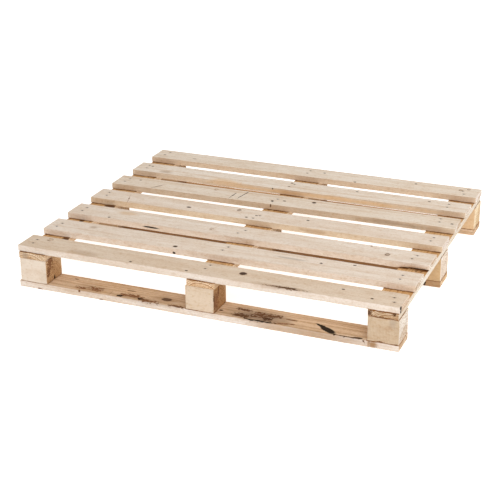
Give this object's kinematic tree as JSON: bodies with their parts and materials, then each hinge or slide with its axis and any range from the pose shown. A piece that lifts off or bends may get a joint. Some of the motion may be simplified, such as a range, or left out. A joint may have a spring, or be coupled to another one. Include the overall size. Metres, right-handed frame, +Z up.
{
  "type": "wooden pallet",
  "caption": "Light four-way block pallet of sawn softwood: spaced deck boards nailed to cross stringer boards, over blocks on bottom runner boards, open to forks on all sides.",
  "frame": {"origin": "middle of the footprint, on the floor under the bottom runners", "axes": "+X along the deck boards and bottom runners, +Y from the front runner to the rear runner, +Z up"},
  "size_m": [1.2008, 1.0004, 0.135],
  "materials": {
    "deck_wood": "rough sawn, dry, knotty softwood",
    "stringer_wood": "rough sawn softwood",
    "block_wood": "rough sawn softwood block",
    "runner_wood": "rough sawn, stained, knotty softwood",
    "nail_steel": "dull bare wire nail"
  },
  "bodies": {
    "root": {"deck_board_1": "deck_wood", "deck_board_2": "deck_wood", "deck_board_3": "deck_wood", "deck_board_4": "deck_wood", "deck_board_5": "deck_wood", "deck_board_6": "deck_wood", "deck_board_7": "deck_wood", "stringer_board_left": "stringer_wood", "stringer_board_middle": "stringer_wood", "stringer_board_right": "stringer_wood", "block_front_left": "block_wood", "block_front_middle": "block_wood", "block_front_right": "block_wood", "block_middle_left": "block_wood", "block_middle_middle": "block_wood", "block_middle_right": "block_wood", "block_rear_left": "block_wood", "block_rear_middle": "block_wood", "block_rear_right": "block_wood", "bottom_runner_front": "runner_wood", "bottom_runner_middle": "runner_wood", "bottom_runner_rear": "runner_wood", "deck_to_block_nails": "nail_steel", "deck_to_stringer_nails": "nail_steel", "runner_to_block_nails": "nail_steel"}
  },
  "joints": []
}
